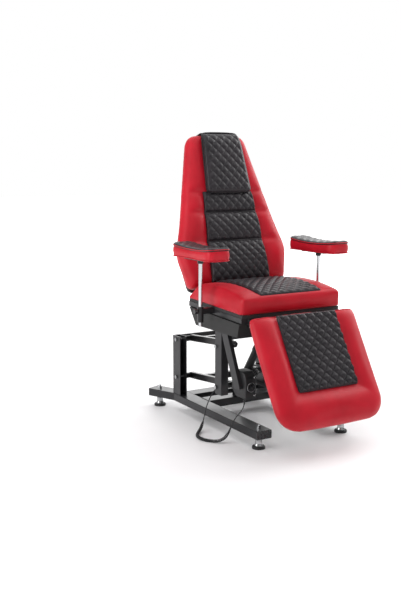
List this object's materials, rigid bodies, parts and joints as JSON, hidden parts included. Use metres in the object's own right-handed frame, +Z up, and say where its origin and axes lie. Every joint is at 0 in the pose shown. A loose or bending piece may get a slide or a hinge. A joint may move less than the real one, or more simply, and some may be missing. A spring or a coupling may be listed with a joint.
{
  "type": "tattoo chair",
  "caption": "Padded client chair with a reclining back, a leg rest that swings up, arm pads on sliding rods, and a parallelogram lift on a steel base with levelling feet.",
  "frame": {"origin": "on the floor, midway between the leg rest's toe and the rear feet, on the chair's middle plane", "axes": "+Z up, -Y the way the sitter faces, +X the chair's right side seen from behind it"},
  "size_m": [0.8375, 1.2022, 1.4672],
  "materials": {
    "frame_enamel": "gloss",
    "trough_enamel": "satin",
    "chrome": "polished",
    "steel_rod": "satin",
    "foot_rubber": "matte",
    "case_plastic": "matte",
    "gloss_plastic": "gloss",
    "board_wood": "matte",
    "red_leather": "satin",
    "black_leather": "satin",
    "cord_rubber": "matte"
  },
  "bodies": {
    "base": {"base_beam_left": "frame_enamel", "base_beam_right": "frame_enamel", "beam_end_caps": "gloss_plastic", "mid_cross_beam": "frame_enamel", "rear_cross_beam": "frame_enamel", "foot_pads": "foot_rubber", "foot_studs": "chrome", "rear_post_left": "frame_enamel", "rear_post_right": "frame_enamel", "rear_post_brace": "frame_enamel", "rear_pivot_bolts": "chrome", "lift_foot_bracket": "frame_enamel"},
    "upper_arms": {"upper_arm_bars": "frame_enamel", "upper_arm_cross_tube": "frame_enamel"},
    "lower_arms": {"lower_arm_bars": "frame_enamel", "lower_arm_cross_tube": "frame_enamel"},
    "carriage": {"seat_post_left": "frame_enamel", "seat_post_right": "frame_enamel", "front_pivot_bolts": "chrome", "seat_side_rails": "frame_enamel", "seat_cross_rails": "frame_enamel", "seat_board": "board_wood", "seat_trough": "trough_enamel", "lift_top_bracket": "frame_enamel", "back_motor": "case_plastic", "leg_motor": "case_plastic", "hinge_pins": "chrome", "seat_cushion": "red_leather", "seat_panel": "black_leather", "arm_socket_left": "frame_enamel", "arm_socket_right": "frame_enamel", "control_box_hanger": "frame_enamel", "control_box": "case_plastic", "post_cord_gland": "case_plastic", "cord_lead_front": "cord_rubber", "cord_curls": "cord_rubber", "cord_lead_rear": "cord_rubber"},
    "lift_motor_body": {"lift_motor": "case_plastic"},
    "lift_rod_body": {"lift_rod": "steel_rod"},
    "back_rod_body": {"back_rod": "steel_rod"},
    "leg_rod_body": {"leg_rod": "steel_rod"},
    "backrest": {"back_frame": "frame_enamel", "back_board": "board_wood", "back_cushion": "red_leather", "back_roll_lower": "black_leather", "back_roll_middle": "black_leather", "back_roll_upper": "black_leather", "head_pillow": "black_leather"},
    "legrest": {"leg_frame": "frame_enamel", "leg_board": "board_wood", "leg_cushion": "red_leather", "leg_panel": "black_leather"},
    "arm_rod_left_body": {"arm_rod_left": "chrome"},
    "arm_rod_right_body": {"arm_rod_right": "chrome"},
    "arm_rest_left": {"arm_plate_left": "frame_enamel", "arm_pad_left": "red_leather"},
    "arm_rest_right": {"arm_plate_right": "frame_enamel", "arm_pad_right": "red_leather"},
    "knob_left": {"clamp_knob_left": "gloss_plastic"},
    "knob_right": {"clamp_knob_right": "gloss_plastic"}
  },
  "joints": [
    {"name": "lift_arms", "type": "hinge", "parent": "base", "child": "upper_arms", "pos_m": [0, 0.381, 0.39], "axis": [-1, 0, 0], "range_deg": [0, 33]},
    {"name": "lower_arms", "type": "hinge", "parent": "base", "child": "lower_arms", "pos_m": [0, 0.381, 0.19], "axis": [-1, 0, 0], "range_deg": [0, 33.1]},
    {"name": "carriage_level", "type": "hinge", "parent": "upper_arms", "child": "carriage", "pos_m": [0, -0.02625, 0.42778], "axis": [-1, 0, 0], "range_deg": [-33.1, 0]},
    {"name": "lift_motor_swing", "type": "hinge", "parent": "base", "child": "lift_motor_body", "pos_m": [0, 0.225, 0.12], "axis": [-1, 0, 0], "range_deg": [0, 19.4]},
    {"name": "lift_rod_slide", "type": "slide", "parent": "lift_motor_body", "child": "lift_rod_body", "axis": [0, -0.5707, 0.8212], "range_m": [0, 0.1615]},
    {"name": "back_recline", "type": "hinge", "parent": "carriage", "child": "backrest", "pos_m": [0, 0.268, 0.6], "axis": [-1, 0, 0], "range_deg": [0, 72]},
    {"name": "back_rod_slide", "type": "slide", "parent": "carriage", "child": "back_rod_body", "axis": [0, -1, 0], "range_m": [0, 0.0636]},
    {"name": "leg_raise", "type": "hinge", "parent": "carriage", "child": "legrest", "pos_m": [0, -0.256, 0.563], "axis": [-1, 0, 0], "range_deg": [0, 60]},
    {"name": "leg_rod_slide", "type": "slide", "parent": "carriage", "child": "leg_rod_body", "axis": [0, -1, 0], "range_m": [0, 0.0402]},
    {"name": "arm_rod_left_slide", "type": "slide", "parent": "carriage", "child": "arm_rod_left_body", "axis": [0, 0, 1], "range_m": [0, 0.05]},
    {"name": "arm_rest_left_swivel", "type": "hinge", "parent": "arm_rod_left_body", "child": "arm_rest_left", "pos_m": [-0.352, 0.018, 0.84], "axis": [0, 0, 1], "range_deg": [-30, 60]},
    {"name": "knob_left_turn", "type": "hinge", "parent": "carriage", "child": "knob_left", "pos_m": [-0.382, 0.018, 0.59878], "axis": [-1, 0, 0], "range_deg": [0, 360]},
    {"name": "arm_rod_right_slide", "type": "slide", "parent": "carriage", "child": "arm_rod_right_body", "axis": [0, 0, 1], "range_m": [0, 0.05]},
    {"name": "arm_rest_right_swivel", "type": "hinge", "parent": "arm_rod_right_body", "child": "arm_rest_right", "pos_m": [0.352, 0.018, 0.84], "axis": [0, 0, -1], "range_deg": [-30, 60]},
    {"name": "knob_right_turn", "type": "hinge", "parent": "carriage", "child": "knob_right", "pos_m": [0.382, 0.018, 0.59878], "axis": [1, 0, 0], "range_deg": [0, 360]}
  ],
  "couplings": [
    {"joint": "lower_arms", "follows": "lift_arms", "ratio": 1},
    {"joint": "carriage_level", "follows": "lift_arms", "ratio": -1},
    {"joint": "lift_motor_swing", "follows": "lift_arms", "ratio": 0.585},
    {"joint": "lift_rod_slide", "follows": "lift_arms", "m_per_rad": 0.27932},
    {"joint": "back_rod_slide", "follows": "back_recline", "m_per_rad": 0.050518},
    {"joint": "leg_rod_slide", "follows": "leg_raise", "m_per_rad": 0.038197}
  ]
}
